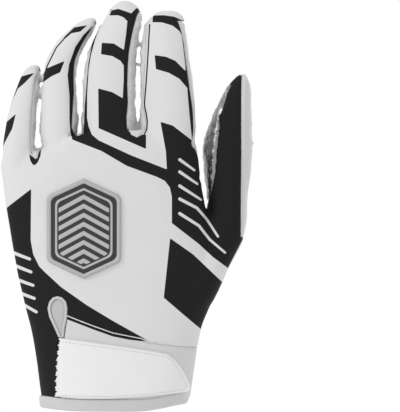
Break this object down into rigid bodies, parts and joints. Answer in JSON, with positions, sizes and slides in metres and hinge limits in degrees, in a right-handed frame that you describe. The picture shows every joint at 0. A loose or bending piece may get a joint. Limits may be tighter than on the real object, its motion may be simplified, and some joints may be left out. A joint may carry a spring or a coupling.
{
  "type": "football receiver glove",
  "caption": "Left-hand receiver glove, filled out as worn: printed back, grip palm, finger side strips, set-in thumb, wrist strap and open wrist.",
  "frame": {"origin": "middle of the wrist mouth, in the plane of the cuff's edge", "axes": "+Z from the wrist to the fingertips, -Y out of the back of the hand, +X to the thumb side"},
  "size_m": [0.1226, 0.0454, 0.2],
  "materials": {
    "back_knit": "printed black and white stretch knit",
    "grip_palm": "silicone-printed pale grip sheet",
    "grip_thumb": "silicone-printed pale grip sheet",
    "silver_cloth": "crinkled metallic cloth",
    "side_cloth": "soft rumpled stretch cloth",
    "wrist_cloth": "smooth neoprene-like cloth",
    "piping": "thin welt",
    "vent_cloth": "matte knit",
    "binding": "folded edge tape",
    "strap": "smooth synthetic leather",
    "badge": "moulded two-tone patch"
  },
  "bodies": {
    "root": {"back_panel": "back_knit", "palm_panel": "grip_palm", "thumb_palm": "grip_thumb", "thumb_gusset": "silver_cloth", "fourchette_middle_index": "side_cloth", "fourchette_ring_middle": "side_cloth", "fourchette_little_ring": "side_cloth", "wrist_panel": "wrist_cloth", "wrist_piping": "piping", "vent_gusset": "vent_cloth", "vent_binding": "binding", "cuff_binding": "binding", "closure_strap": "strap", "back_badge": "badge"}
  },
  "joints": []
}
